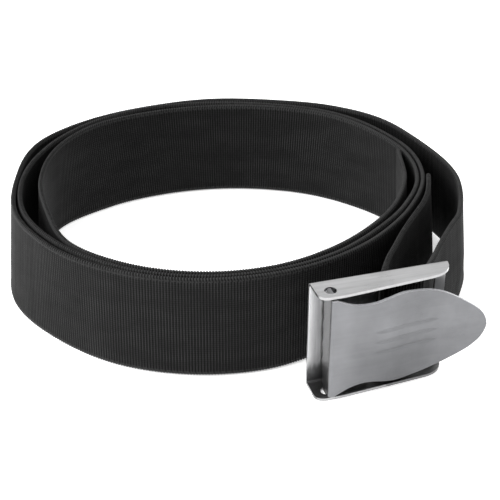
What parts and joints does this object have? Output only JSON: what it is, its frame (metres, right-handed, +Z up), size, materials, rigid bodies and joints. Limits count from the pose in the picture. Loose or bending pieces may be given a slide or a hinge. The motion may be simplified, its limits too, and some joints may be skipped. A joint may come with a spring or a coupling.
{
  "type": "dive weight belt",
  "caption": "Coiled webbing belt standing on edge, threaded on a pressed steel cam buckle whose lever swings open to take and grip the free end",
  "frame": {"origin": "Middle of the bounding box's footprint, on the surface that the belt stands on", "axes": "+X to the right seen from the buckle's side, +Y from the buckle towards the far side of the coil, +Z up across the webbing's width"},
  "size_m": [0.2352, 0.2188, 0.0541],
  "materials": {
    "webbing": "matt ribbed weave, black",
    "frame_steel": "brushed stainless sheet",
    "lever_steel": "satin stainless sheet"
  },
  "bodies": {
    "belt": {"webbing_strap": "webbing", "buckle_frame": "frame_steel"},
    "lever": {"cam_lever": "lever_steel"}
  },
  "joints": [
    {"name": "lever_hinge", "type": "hinge", "parent": "belt", "child": "lever", "pos_m": [0.04074, -0.10336, 0.02705], "axis": [0, 0, -1], "range_deg": [0, 110]}
  ]
}
